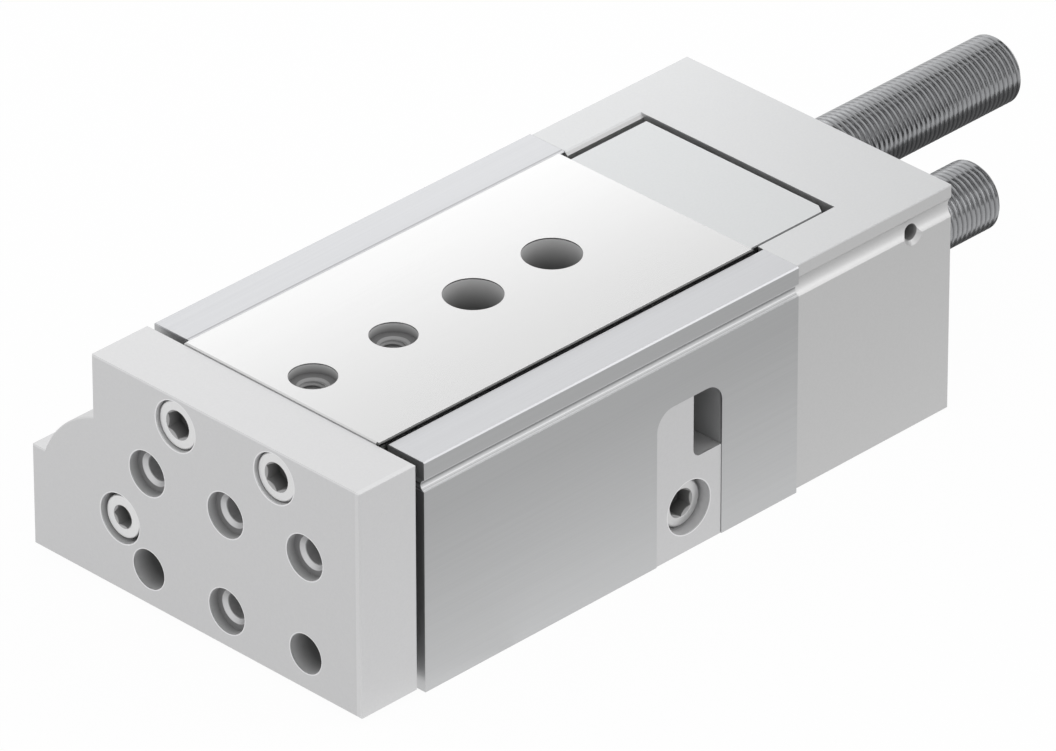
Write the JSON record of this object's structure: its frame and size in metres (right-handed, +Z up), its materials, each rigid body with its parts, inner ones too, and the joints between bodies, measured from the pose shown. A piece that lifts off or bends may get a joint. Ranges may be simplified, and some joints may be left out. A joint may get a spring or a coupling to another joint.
{
  "type": "pneumatic mini slide",
  "caption": "Compact pneumatic slide: a flat table on ball guides in a housing with a side cylinder, a yoke plate at the front and threaded stop sleeves at the rear.",
  "frame": {"origin": "on the mounting face under the housing, halfway between the two mounting holes", "axes": "+X is the direction in which the table and yoke move out, +Z points up out of the table, +Y points away from the cylinder lobe"},
  "size_m": [0.2155, 0.0841, 0.0482],
  "materials": {
    "guide_housing": "brushed, clear anodised",
    "rear_housing": "fine matt, clear anodised",
    "stop_block": "fine matt, clear anodised",
    "yoke_plate": "fine matt, clear anodised",
    "stop_bracket": "fine matt",
    "slide_table": "ground bright",
    "zinc_screws": "bright zinc",
    "black_screw": "black oxide",
    "hardened_steel": "ground and polished",
    "bearing_bronze": "turned",
    "seal_rubber": "matt",
    "cushion_rubber": "matt",
    "spring_steel": "phosphated",
    "piston_aluminium": "turned",
    "magnet": "bonded magnet",
    "white_plastic": "moulded",
    "sleeve_steel": "threaded, dark nickel"
  },
  "bodies": {
    "housing": {"guide_housing": "guide_housing", "rear_housing": "rear_housing", "right_guide_rail": "hardened_steel", "left_guide_rail": "hardened_steel", "stop_block": "stop_block", "stop_block_screw": "zinc_screws", "rear_housing_screws": "zinc_screws", "sleeve_clamp_screw": "black_screw", "rod_bearing": "bearing_bronze", "rod_seal": "seal_rubber", "rod_wiper": "seal_rubber", "gland_ring_seal": "seal_rubber", "gland_circlip": "spring_steel"},
    "carriage": {"slide_table": "slide_table", "yoke_plate": "yoke_plate", "yoke_screws": "zinc_screws", "rod_screw": "zinc_screws", "stop_bracket": "stop_bracket", "bracket_screws": "zinc_screws", "piston_rod": "hardened_steel", "piston": "piston_aluminium", "piston_nut": "zinc_screws", "piston_packings": "seal_rubber", "piston_guide_ring": "white_plastic", "piston_magnet": "magnet", "front_cushion": "cushion_rubber", "rear_cushion": "cushion_rubber"},
    "right_cage": {"right_ball_cage": "white_plastic", "right_balls": "hardened_steel"},
    "left_cage": {"left_ball_cage": "white_plastic", "left_balls": "hardened_steel"},
    "retract_plug": {"retract_buffer": "cushion_rubber"},
    "retract_screw": {"retract_sleeve": "sleeve_steel"},
    "advance_plug": {"advance_buffer": "cushion_rubber"},
    "advance_screw": {"advance_sleeve": "sleeve_steel"}
  },
  "joints": [
    {"name": "carriage_travel", "type": "slide", "parent": "housing", "child": "carriage", "axis": [1, 0, 0], "range_m": [0, 0.03]},
    {"name": "right_cage_travel", "type": "slide", "parent": "housing", "child": "right_cage", "axis": [1, 0, 0], "range_m": [0, 0.015]},
    {"name": "left_cage_travel", "type": "slide", "parent": "housing", "child": "left_cage", "axis": [1, 0, 0], "range_m": [0, 0.015]},
    {"name": "retract_stop_feed", "type": "slide", "parent": "housing", "child": "retract_plug", "axis": [1, 0, 0], "range_m": [-0.005, 0]},
    {"name": "retract_stop_turn", "type": "hinge", "parent": "retract_plug", "child": "retract_screw", "pos_m": [0, -0.0146, 0.0269], "axis": [1, 0, 0], "range_deg": [-1440.1, 0.1]},
    {"name": "advance_stop_feed", "type": "slide", "parent": "carriage", "child": "advance_plug", "axis": [1, 0, 0], "range_m": [-0.005, 0]},
    {"name": "advance_stop_turn", "type": "hinge", "parent": "advance_plug", "child": "advance_screw", "pos_m": [0, 0.0146, 0.0269], "axis": [1, 0, 0], "range_deg": [-1440.1, 0.1]}
  ],
  "couplings": [
    {"joint": "right_cage_travel", "follows": "carriage_travel", "ratio": 0.5},
    {"joint": "left_cage_travel", "follows": "carriage_travel", "ratio": 0.5},
    {"joint": "retract_stop_turn", "follows": "retract_stop_feed", "rad_per_m": 5026.5},
    {"joint": "advance_stop_turn", "follows": "advance_stop_feed", "rad_per_m": 5026.5}
  ]
}
